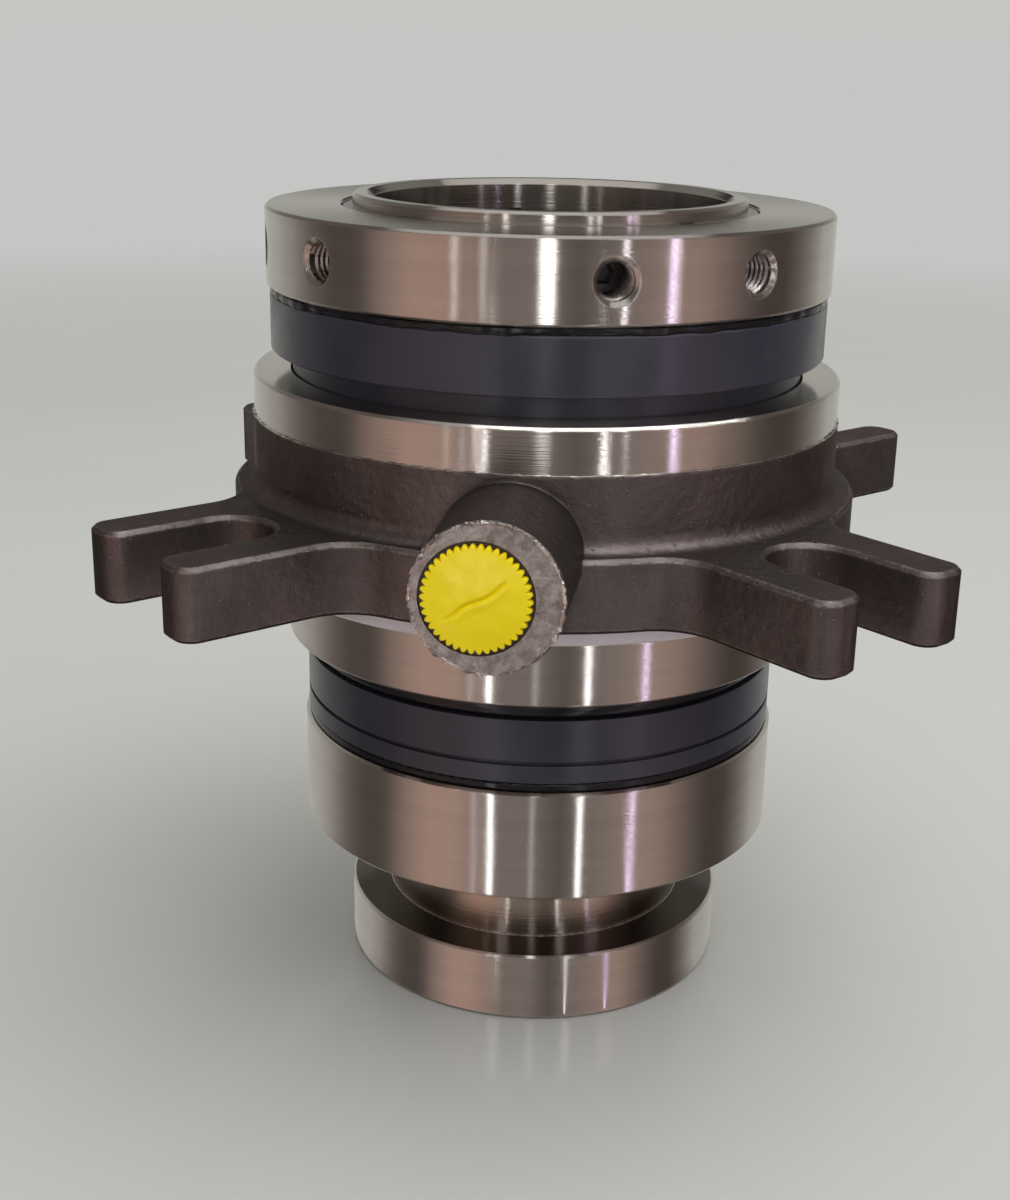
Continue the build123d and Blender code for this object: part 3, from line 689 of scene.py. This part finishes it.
def makeBossFace(side):
    look = bossLook
    seed = look["seeds"][side]
    place = portFrame(side)
    level = Vector((0, 0, look["raise"]))
    middle = Vector((look["shift"], 0, 0))
    face, rim = [], []
    for ray in raysRound(look["columns"]):
        slow = uneven(ray, 5, seed)
        quick = uneven(ray, 16, seed)
        ragged = look["ragged"] * (slow + 0.7 * quick)
        start = ray * look["inner"]
        finish = middle + ray * (look["radius"] - 0.0005 + ragged)
        row = [start - Vector((0, 0, look["lip"]))]
        for step in range(look["steps"] + 1):
            spot = start.lerp(finish, step / look["steps"])
            grain = noise.noise(spot * 900 + Vector((0, 0, seed))) + 0.6 * noise.noise(spot * 2400)
            fade = min(step / 2, 1.0)
            row.append(spot + level + Vector((0, 0, fade * look["rough"] * max(grain, -0.9))))
        row.append(finish + ray * look["lip"] / 2 - Vector((0, 0, look["lip"])))
        face.append([place @ point for point in row])
        lump = 1 + 0.9 * uneven(ray, 7, seed + 5)
        lump += 0.7 * uneven(ray, 24, seed + 7)
        size = look["rim"] * max(0.45, lump)
        centre = middle + ray * (look["radius"] - look["lip"] + ragged) + level * 0.4
        rim.append([place @ point for point in beadRow(centre, ray, size, 8)])
    newPiece("bossFace" + side.capitalize(), gridMesh("bossFace", face), "gland", "cast_steel", roughFace)
    newPiece("bossRim" + side.capitalize(), gridMesh("bossRim", rim), "gland", "cast_steel", rolledBurr)


for side in ("front", "rear"):
    makeBossFace(side)


# Port plugs: moulded caps with scalloped rims and a shallow crease across the face
plugLook = {
    "radius": 0.0107,
    "scallop": 0.00095,
    "teeth": 42,
    "height": 0.0022,
    "dome": 0.00080,
    "edgeRound": 0.00055,
    "stem": 0.00755,
    "stemWall": 0.0016,
    "stemLength": 0.009,
    "creaseTurn": 36.0,
    "creaseHalf": 0.0073,
    "creaseWidth": 0.00026,
    "creaseDepth": 0.00060,
    "creaseStray": 0.0004,
    "creaseWave": (0.00048, 430.0),
    "ridgeAside": 0.0011,
    "ridgeWidth": 0.0007,
    "lumps": 0.00012,
    "sink": 0.00016,
    "topSteps": 32,
    "edgeSteps": 4,
}


def plugTop(spot, look, seed):
    turn = math.radians(look["creaseTurn"])
    along = spot.x * math.cos(turn) + spot.y * math.sin(turn)
    aside = -spot.x * math.sin(turn) + spot.y * math.cos(turn)
    wave, pace = look["creaseWave"]
    aside += look["creaseStray"] * noise.noise(Vector((along * 300, seed, 0))) + wave * math.sin(along * pace)
    ends = max(0.0, 1 - (abs(along) / look["creaseHalf"]) ** 4)
    crease = look["creaseDepth"] * ends * math.exp(-(aside / look["creaseWidth"]) ** 2)
    beside = (aside + look["ridgeAside"]) / look["ridgeWidth"]
    ridge = 0.4 * look["creaseDepth"] * ends * math.exp(-beside ** 2)
    lumps = look["lumps"] * noise.noise(Vector((spot.x * 260, spot.y * 260, seed)))
    sag = look["dome"] * (spot.length / look["radius"]) ** 2
    return look["height"] - look["sink"] - sag - crease + ridge + lumps


def makePlug(side):
    look = plugLook
    seed = bossLook["seeds"][side]
    place = portFrame(side)
    columns = look["teeth"] * 8
    rows = []
    for column in range(columns):
        angle = 2 * math.pi * column / columns
        ray = rayAt(angle)
        bump = abs(math.cos(look["teeth"] * angle / 2)) ** 0.9
        edge = look["radius"] - look["scallop"] * (1 - bump)
        crown = edge - look["edgeRound"]
        row = []
        for step in range(1, look["topSteps"] + 1):
            spot = ray * crown * step / look["topSteps"]
            row.append(spot + Vector((0, 0, plugTop(spot, look, seed))))
        top = plugTop(ray * crown, look, seed)
        for k in range(1, look["edgeSteps"] + 1):
            lean = math.pi / 2 * k / look["edgeSteps"]
            row.append(ray * (crown + look["edgeRound"] * math.sin(lean))
                       + Vector((0, 0, top - look["edgeRound"] * (1 - math.cos(lean)))))
        row.append(ray * (edge - 0.00002))
        row.append(ray * look["stem"])
        row.append(ray * look["stem"] - Vector((0, 0, look["stemLength"])))
        inner = look["stem"] - look["stemWall"]
        row.append(ray * inner - Vector((0, 0, look["stemLength"])))
        row.append(ray * inner)
        rows.append([place @ point for point in row])
    mesh = gridMesh("portPlug", rows, closeAcross=False)
    build = bmesh.new()
    build.from_mesh(mesh)
    rims = [edge for edge in build.edges if len(edge.link_faces) == 1]
    bmesh.ops.holes_fill(build, edges=rims, sides=0)
    build.to_mesh(mesh)
    build.free()
    smoothOut(mesh, 55.0)
    piece = newPiece("portPlug" + side.capitalize(), mesh, "gland", "yellow_plastic", yellowPlastic)
    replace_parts(piece, "port_plug_" + side)


for side in ("front", "rear"):
    makePlug(side)
print("ports done")


# Threads in the collar's radial holes
threadLook = {
    "firstAngle": -28.0,
    "pairs": 4,
    "pairAngle": 30.0,
    "wall": 0.00405,
    "crest": 0.00345,
    "pitch": 0.00125,
    "from": 0.0532,
    "to": 0.0622,
    "steps": 36,
}


def makeThreads():
    look = threadLook
    low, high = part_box("collar_set_screws")
    level = Vector((0, 0, (low.z + high.z) / 2))
    points, faces = [], []
    turns = (look["to"] - look["from"]) / look["pitch"]
    count = int(turns * look["steps"])
    for pair in range(look["pairs"]):
        for extra in (0.0, look["pairAngle"]):
            outward = rayAt(math.radians(look["firstAngle"] + 360 / look["pairs"] * pair + extra))
            side = outward.cross(Vector((0, 0, 1)))
            start = len(points)
            for step in range(count + 1):
                turn = 2 * math.pi * step / look["steps"]
                ray = Vector((0, 0, math.cos(turn))) + side * math.sin(turn)
                along = look["from"] + look["pitch"] * step / look["steps"]
                for shift, radius in ((-0.44, look["wall"]), (0.0, look["crest"]), (0.44, look["wall"])):
                    points.append(level + outward * (along + shift * look["pitch"]) + ray * radius)
                if step:
                    here = start + 3 * step
                    for k in range(3):
                        m = (k + 1) % 3
                        faces.append((here - 3 + k, here + k, here + m, here - 3 + m))
            faces.append((start, start + 1, start + 2))
            faces.append((start + 3 * count + 2, start + 3 * count + 1, start + 3 * count))
    mesh = bpy.data.meshes.new("collarThreads")
    mesh.from_pydata(points, [], faces)
    smoothOut(mesh)
    newPiece("collarThreads", mesh, "rotor", "turned_steel", threadSteel)


makeThreads()


# Rubber pressed out between the drive collar and the outer ring: its lip is uneven
lipLook = {"wall": 0.0095, "bulge": 0.00042, "droop": 0.00040, "columns": 540, "seed": 21.0}


def makeRubberLip():
    look = lipLook
    low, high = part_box("collar_rubber_ring")
    rows = []
    for ray in raysRound(look["columns"]):
        slow = uneven(ray, 4, look["seed"])
        quick = uneven(ray, 17, look["seed"])
        out = high.x + look["bulge"] * (0.25 + 0.9 * slow + 0.7 * quick)
        foot = low.z - look["droop"] * max(0.0, 0.3 + slow + quick)
        middle = (foot + high.z) / 2
        section = [(high.x - look["wall"], low.z + 0.00002), (high.x - 0.0009, low.z + 0.00002),
                   (high.x - 0.0002, foot + 0.00015), (out - 0.0001, foot + 0.00025), (out, middle),
                   (out - 0.0001, high.z - 0.00035), (high.x - 0.0004, high.z - 0.00002),
                   (high.x - look["wall"], high.z - 0.00002)]
        rows.append([ray * radius + Vector((0, 0, z)) for radius, z in section])
    piece = newPiece("rubberLip", gridMesh("rubberLip", rows), "rotor", "black_rubber", glossRubber)
    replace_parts(piece, "collar_rubber_ring")


makeRubberLip()


# Fine burr left where the machined band runs out into the cast barrel
bandBurrLook = {
    "radius": 0.06766,
    "below": 0.0096,
    "size": 0.00013,
    "stray": 0.00012,
    "columns": 720,
    "seed": 31.0,
}


def makeBandBurr():
    look = bandBurrLook
    low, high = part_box("gland")
    rows = []
    for ray in raysRound(look["columns"]):
        slow = uneven(ray, 6, look["seed"])
        quick = uneven(ray, 40, look["seed"])
        size = look["size"] * max(0.5, 1 + 0.9 * slow + 1.4 * quick)
        level = high.z - look["below"] + look["stray"] * (slow + quick)
        centre = ray * look["radius"] + Vector((0, 0, level))
        rows.append(beadRow(centre, ray, size, 6))
    newPiece("bandBurr", gridMesh("bandBurr", rows), "gland", "cast_steel", rolledBurr)


makeBandBurr()
print("collar, rubber lip and burr done")


# Thin raised line where the neck meets the end ring
arrisLook = {"radius": 0.03635, "size": 0.00018, "columns": 360}


def makeNeckArris():
    look = arrisLook
    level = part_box("sleeve_end_ring")[1].z
    rows = []
    for ray in raysRound(look["columns"]):
        size = look["size"] * (1 + 0.25 * noise.noise(ray * 9))
        rows.append(beadRow(ray * look["radius"] + Vector((0, 0, level)), ray, size, 8))
    newPiece("neckArris", gridMesh("neckArris", rows), "rotor", "turned_steel", arrisSteel)


makeNeckArris()
print("neck line done")


# Plain pale floor that fades out; it is a little glossy only close to the part
floorLook = {
    "colour": (0.50, 0.505, 0.49),
    "mottle": (0.97, 1.03),
    "radius": 3.0,
    "fade": (0.7, 1.5),
    "gloss": (0.06, 0.15, 0.10, 0.85),  # from, to, roughness near the part, roughness beyond
}


def makeFloor():
    look = floorLook
    mesh = bpy.data.meshes.new("floor")
    build = bmesh.new()
    bmesh.ops.create_circle(build, cap_ends=True, segments=96, radius=look["radius"])
    build.to_mesh(mesh)
    build.free()
    floor = bpy.data.objects.new("floor", mesh)
    scene.collection.objects.link(floor)
    material, tree, shader = newMaterial("floorSurface")
    mesh.materials.append(material)
    film = placeGroup(tree, blotchGroup, Scale=6.0)
    dark, pale = (tuple(share * c for c in look["colour"]) for share in look["mottle"])
    tone = mixColours(tree, film.outputs["Cloud"], dark, pale)
    place = addNode(tree, "TexCoord").outputs["Object"]
    reach = addNode(tree, "VectorMath", operation="LENGTH")
    wire(tree, (tone, shader.inputs["Base Color"]), (place, reach.inputs[0]))
    wire(tree, (remap(tree, reach.outputs["Value"], *look["gloss"]), shader.inputs["Roughness"]))
    clear = addNode(tree, "BsdfTransparent")
    mix = addNode(tree, "MixShader")
    wire(tree, (remap(tree, reach.outputs["Value"], *look["fade"], 0.0, 1.0), mix.inputs[0]),
         (shader.outputs[0], mix.inputs[1]), (clear.outputs[0], mix.inputs[2]),
         (mix.outputs[0], tree.nodes["Material Output"].inputs["Surface"]))


makeFloor()

front = math.radians(-40.0)  # where the camera stands, seen from the shaft

# Plain pale room, in bands by the height of the view
roomLook = {
    "below": (0.56, 0.565, 0.55),
    "walls": (0.56, 0.56, 0.54),
    "ceiling": (0.72, 0.71, 0.69),
    "wallsFrom": (-0.02, 0.05),
    "ceilingFrom": (0.45, 0.98),
}


def makeRoom():
    world = bpy.data.worlds.new("room")
    scene.world = world
    world.use_nodes = True
    world.cycles.sampling_method = "NONE"
    tree = world.node_tree
    place = addNode(tree, "TexCoord").outputs["Generated"]
    height = addNode(tree, "SeparateXYZ")
    wire(tree, (place, height.inputs[0]))
    overhead = remap(tree, height.outputs["Z"], *roomLook["ceilingFrom"], 0, 1)
    walls = mixColours(tree, overhead, roomLook["walls"], roomLook["ceiling"])
    level = remap(tree, height.outputs["Z"], *roomLook["wallsFrom"], 0, 1)
    wire(tree, (mixColours(tree, level, roomLook["below"], walls), tree.nodes["Background"].inputs["Color"]))


makeRoom()

# Reflector round the part, seen only in its gloss: a plain room of a few soft zones.
# It is a tray on the floor with a drum round it; the zones spread on the tray to line up in the end ring
reflectorLook = {
    "rows": ((0.0462, 0.0004), (0.20, 0.0004), (0.20, 0.45)),  # radius and level
    "columns": 96,
    "ringRadius": 0.0458,
    "traySpread": 0.54,
    "drumTurn": 0.876,
    "dimAbove": (0.17, 0.25),
    "dimTo": 0.50,
    "upperFrom": (0.195, 0.215),
    "strips": (  # degrees from the front, width, (tray from, drum from, drum to), strength, colour
        (-25.0, 0.7, (0.09, 0.0, 0.13), 1.2, (0.94, 0.88, 1.0)),
        (-18.0, 0.9, (0.09, 0.0, 0.118), 6.6, (0.97, 0.98, 1.0)),
        (-0.5, 4.6, (None, 0.135, 0.45), 2.2, (1.0, 1.0, 1.0)),
        (-1.0, 1.6, (0.09, 0.0, 0.135), 0.6, (1.0, 0.97, 0.96)),
        (18.3, 0.8, (0.09, 0.0, 0.118), 6.6, (0.97, 0.97, 1.0)),
        (18.3, 0.8, (0.0, 0.0, 0.0), 1.8, (1.0, 0.96, 0.94)),
        (24.6, 0.9, (None, 0.125, 0.45), 4.0, (0.95, 0.92, 1.0)),
        (40.5, 0.9, (0.09, 0.0, 0.45), 4.8, (0.80, 0.68, 1.0)),
        (40.5, 1.0, (0.0, 0.0, 0.0), 1.8, (0.80, 0.68, 1.0)),
    ),
    "colours": {
        "wall": (0.50, 0.50, 0.46),
        "warmBoard": (0.55, 0.38, 0.32),
        "greyBoard": (0.28, 0.24, 0.22),
        "shade": (0.07, 0.055, 0.05),
    },
    "zones": (  # colour, middle in degrees from the front, half width, soft edge, strength
        ("wall", 180, 60, 30, 1.0),
        ("shade", -75, 5, 25, 0.8),
        ("warmBoard", -40, 5, 20, 1.0),
        ("shade", 10, 0, 15, 0.6),
        ("warmBoard", 50, 5, 20, 0.6),
        ("shade", 85, 5, 30, 0.9),
    ),
    "upperZones": (
        ("wall", 180, 40, 30, 1.0),
        ("shade", 180, 5, 10, 1.0),
    ),
}


def hideExceptGloss(piece):
    piece.visible_camera = piece.visible_diffuse = piece.visible_shadow = False
    piece.visible_transmission = piece.visible_volume_scatter = False


def glowMaterial(name):
    material = bpy.data.materials.new(name)
    material.use_nodes = True
    material.cycles.emission_sampling = "NONE"
    tree = material.node_tree
    tree.nodes.remove(tree.nodes["Principled BSDF"])
    glow = addNode(tree, "Emission")
    clear = addNode(tree, "BsdfTransparent")
    side = addNode(tree, "MixShader")
    rear = addNode(tree, "NewGeometry").outputs["Backfacing"]
    wire(tree, (rear, side.inputs[0]), (glow.outputs[0], side.inputs[1]), (clear.outputs[0], side.inputs[2]),
         (side.outputs[0], tree.nodes["Material Output"].inputs["Surface"]))
    return material, tree, glow


def roomZones(tree, turn, zones):
    colours = reflectorLook["colours"]
    tone = colours["greyBoard"]
    for name, middle, half, soft, strength in zones:
        shifted = mathNode(tree, "SUBTRACT", turn, math.radians(middle))
        away = mathNode(tree, "ABSOLUTE", mathNode(tree, "WRAP", shifted, math.pi, -math.pi))
        inside = remap(tree, away, math.radians(half), math.radians(half + soft), strength, 0.0)
        tone = mixColours(tree, inside, tone, colours[name])
    return tone


def makeReflector():
    look = reflectorLook
    count, across = look["columns"], len(look["rows"])
    points, faces = [], []
    for column in range(count):
        ray = rayAt(2 * math.pi * column / count)
        points += [ray * radius + Vector((0, 0, level)) for radius, level in look["rows"]]
        for k in range(across - 1):
            a, b = across * column + k, across * ((column + 1) % count) + k
            faces.append((a, a + 1, b + 1, b))
    mesh = bpy.data.meshes.new("reflector")
    mesh.from_pydata(points, [], faces)
    drum = bpy.data.objects.new("reflector", mesh)
    scene.collection.objects.link(drum)
    hideExceptGloss(drum)
    material, tree, glow = glowMaterial("reflectorPanels")
    mesh.materials.append(material)
    place = addNode(tree, "TexCoord").outputs["Object"]
    turned = addNode(tree, "VectorRotate", rotation_type="Z_AXIS")
    turned.inputs["Angle"].default_value = -front
    parts = addNode(tree, "SeparateXYZ")
    wire(tree, (place, turned.inputs["Vector"]), (turned.outputs[0], parts.inputs[0]))
    angle = mathNode(tree, "ARCTAN2", parts.outputs["Y"], parts.outputs["X"])
    flat = addNode(tree, "CombineXYZ")
    reach = addNode(tree, "VectorMath", operation="LENGTH")
    wire(tree, (parts.outputs["X"], flat.inputs["X"]), (parts.outputs["Y"], flat.inputs["Y"]),
         (flat.outputs[0], reach.inputs[0]))
    beyond = mathNode(tree, "SUBTRACT", reach.outputs["Value"], look["traySpread"] * look["ringRadius"])
    spread = mathNode(tree, "DIVIDE", reach.outputs["Value"], beyond)
    seen = mathNode(tree, "MULTIPLY", angle, mathNode(tree, "MULTIPLY", spread, look["drumTurn"]))
    turn = mathNode(tree, "MAXIMUM", mathNode(tree, "MINIMUM", seen, math.pi), -math.pi)
    lower, upper = roomZones(tree, turn, look["zones"]), roomZones(tree, turn, look["upperZones"])
    panels = mixColours(tree, remap(tree, parts.outputs["Z"], *look["upperFrom"], 0, 1), lower, upper)
    dim = remap(tree, parts.outputs["Z"], *look["dimAbove"], 1.0, look["dimTo"])
    wire(tree, (panels, glow.inputs["Color"]), (dim, glow.inputs["Strength"]))


# On the tray a strip bends in to the end ring, so that it shows there where it shows higher up
bendLook = {
    "outer": 0.198,
    "turnOut": 1.19,
    "ringTurn": 0.532,
    "clear": 0.001,
    "lift": 0.0008,
    "straightFrom": 0.07,
    "straightBy": 0.05,
    "shortEnd": 0.09,
    "steps": 12,
}


def trayRows(angle, width, nearest, reachesDrum):
    look = bendLook
    inner, outer = reflectorLook["ringRadius"], look["outer"]
    toward = look["turnOut"] * angle
    ahead, aside = rayAt(front + toward), rayAt(front + toward - math.pi / 2)
    start = inner * math.cos(look["ringTurn"] * toward) + look["clear"]
    finish = outer * math.cos(toward - angle)
    nearShift = inner * math.sin(look["ringTurn"] * toward)
    farShift = outer * math.sin(toward - angle)
    first = max(start, nearest)
    last = finish if reachesDrum else look["shortEnd"]
    rows = []
    for step in range(look["steps"] + 1):
        reach = first + (last - first) * step / look["steps"]
        share = min(max((reach - look["straightFrom"]) / look["straightBy"], 0.0), 1.0)
        shift = (1 - share) * nearShift + share * farShift
        spread = (2 * (reach - start) + inner) / (2 * (finish - start) + inner)
        half = width * outer * spread / 2
        middle = ahead * reach + aside * shift + Vector((0, 0, look["lift"]))
        rows.append((middle + aside * half, middle - aside * half))
    return rows


def drumRows(angle, width, foot, top):
    edges = [rayAt(front + angle + side * width / 2) * bendLook["outer"] for side in (-1, 1)]
    levels = (max(foot, bendLook["lift"]), top)
    return [tuple(edge + Vector((0, 0, level)) for edge in edges) for level in levels]


def makeStrip(name, degrees, width, span, strength, colour):
    angle, width = math.radians(degrees), math.radians(width)
    nearest, foot, top = span
    rows = []
    if nearest is not None:
        rows += trayRows(angle, width, nearest, top > 0)
    if top > 0:
        rows += drumRows(angle, width, foot, top)
    points = [point for row in rows for point in row]
    faces = [(2 * k, 2 * k + 2, 2 * k + 3, 2 * k + 1) for k in range(len(rows) - 1)]
    mesh = bpy.data.meshes.new(name)
    mesh.from_pydata(points, [], faces)
    strip = bpy.data.objects.new(name, mesh)
    scene.collection.objects.link(strip)
    hideExceptGloss(strip)
    material, tree, glow = glowMaterial(name)
    setInputs(glow, Color=(*colour, 1), Strength=strength)
    mesh.materials.append(material)


for number, strip in enumerate(reflectorLook["strips"]):
    makeStrip(f"strip{number}", *strip)
makeReflector()

# Lamps by their angle from the middle of the front: slim upright tubes and one wide soft box above
lampLook = {
    "tubes": (  # degrees from the front, width, radiance, colour, what it lights
        (-35.0, 0.010, 5.0, (1.0, 0.97, 0.95), "objects"),
        (-24.0, 0.020, 8.0, (1.0, 1.0, 1.0), "others"),
        (-24.0, 0.020, 2.0, (1.0, 1.0, 1.0), "collar"),
        (0.5, 0.080, 3.5, (1.0, 1.0, 1.0), "collar"),
        (0.5, 0.040, 2.0, (1.0, 0.97, 0.96), "others"),
        (22.5, 0.018, 8.0, (1.0, 1.0, 1.0), "others"),
        (49.0, 0.016, 6.0, (0.86, 0.80, 1.0), "objects"),
    ),
    "distance": 1.15,
    "height": 1.1,
    "foot": 0.02,
    "overhead": {"place": (0.35, 0.15, 1.2), "target": (0, 0, 0.1), "size": 1.3, "radiance": 2.3,
                 "colour": (1.0, 0.99, 0.97)},
    "unlitAbove": ("driveCollarTurned", "shaft_sleeve", "sleeveEndRingTurned", "rotorHousingTurned"),
    "glint": {"azimuth": -54.2, "height": -7.2, "distance": 0.45, "size": 0.06, "radiance": 14.0},
}


def addLamp(name, place, target, width, height, radiance, colour):
    lamp = bpy.data.lights.new(name, "AREA")
    lamp.shape = "RECTANGLE"
    lamp.size = width
    lamp.size_y = height
    lamp.energy = radiance * math.pi * width * height
    lamp.color = colour
    lamp.cycles.use_multiple_importance_sampling = False
    holder = bpy.data.objects.new(name, lamp)
    scene.collection.objects.link(holder)
    holder.location = place
    holder.rotation_euler = (Vector(target) - Vector(place)).to_track_quat("-Z", "Y").to_euler()
    holder.visible_camera = False
    return holder


def linkSet(name, names, state):
    group = bpy.data.collections.new(name)
    for number, item in enumerate(names):
        group.objects.link(bpy.data.objects[item])
        group.collection_objects[number].light_linking.link_state = state
    return group


def makeTubes():
    linked = {"objects": linkSet("notFloor", ("floor",), "EXCLUDE"),
              "collar": linkSet("collarOnly", ("driveCollarTurned",), "INCLUDE"),
              "others": linkSet("notCollar", ("driveCollarTurned", "floor"), "EXCLUDE")}
    height = lampLook["height"]
    level = lampLook["foot"] + height / 2
    for number, (angle, width, radiance, colour, group) in enumerate(lampLook["tubes"]):
        place = rayAt(front + math.radians(angle)) * lampLook["distance"] + Vector((0, 0, level))
        tube = addLamp(f"tube{number}", place, (0, 0, level), width, height, radiance, colour)
        tube.light_linking.receiver_collection = linked[group]


def makeOverhead():
    look = lampLook["overhead"]
    above = addLamp("overhead", look["place"], look["target"], look["size"], look["size"],
                    look["radiance"], look["colour"])
    above.light_linking.receiver_collection = linkSet("unlitAbove", lampLook["unlitAbove"], "EXCLUDE")


# Small lamp for the sheen on the front plug
def makeGlint():
    look = lampLook["glint"]
    azimuth, height = math.radians(look["azimuth"]), math.radians(look["height"])
    target = Vector(mounts["barrier_port_front"]["pos_m"])
    toward = rayAt(azimuth) * math.cos(height) + Vector((0, 0, math.sin(height)))
    lamp = addLamp("glint", target + toward * look["distance"], target, look["size"], look["size"],
                   look["radiance"], (1, 1, 1))
    lamp.light_linking.receiver_collection = linkSet("glintOnly", ("portPlugFront",), "INCLUDE")


makeTubes()
makeOverhead()
makeGlint()

cameraLook = {
    "place": (0.3013, -0.2528, 0.2187),
    "turn": (71.633, -0.950, 51.737),
    "lens": 51.05,
    "shift": 0.0042,
}
eye = bpy.data.cameras.new("camera")
eye.lens = cameraLook["lens"]
eye.shift_x = cameraLook["shift"]
camera = bpy.data.objects.new("camera", eye)
camera.location = cameraLook["place"]
camera.rotation_euler = [math.radians(angle) for angle in cameraLook["turn"]]
scene.collection.objects.link(camera)
scene.camera = camera
scene.view_settings.view_transform = "Standard"
print("floor, light and camera set")
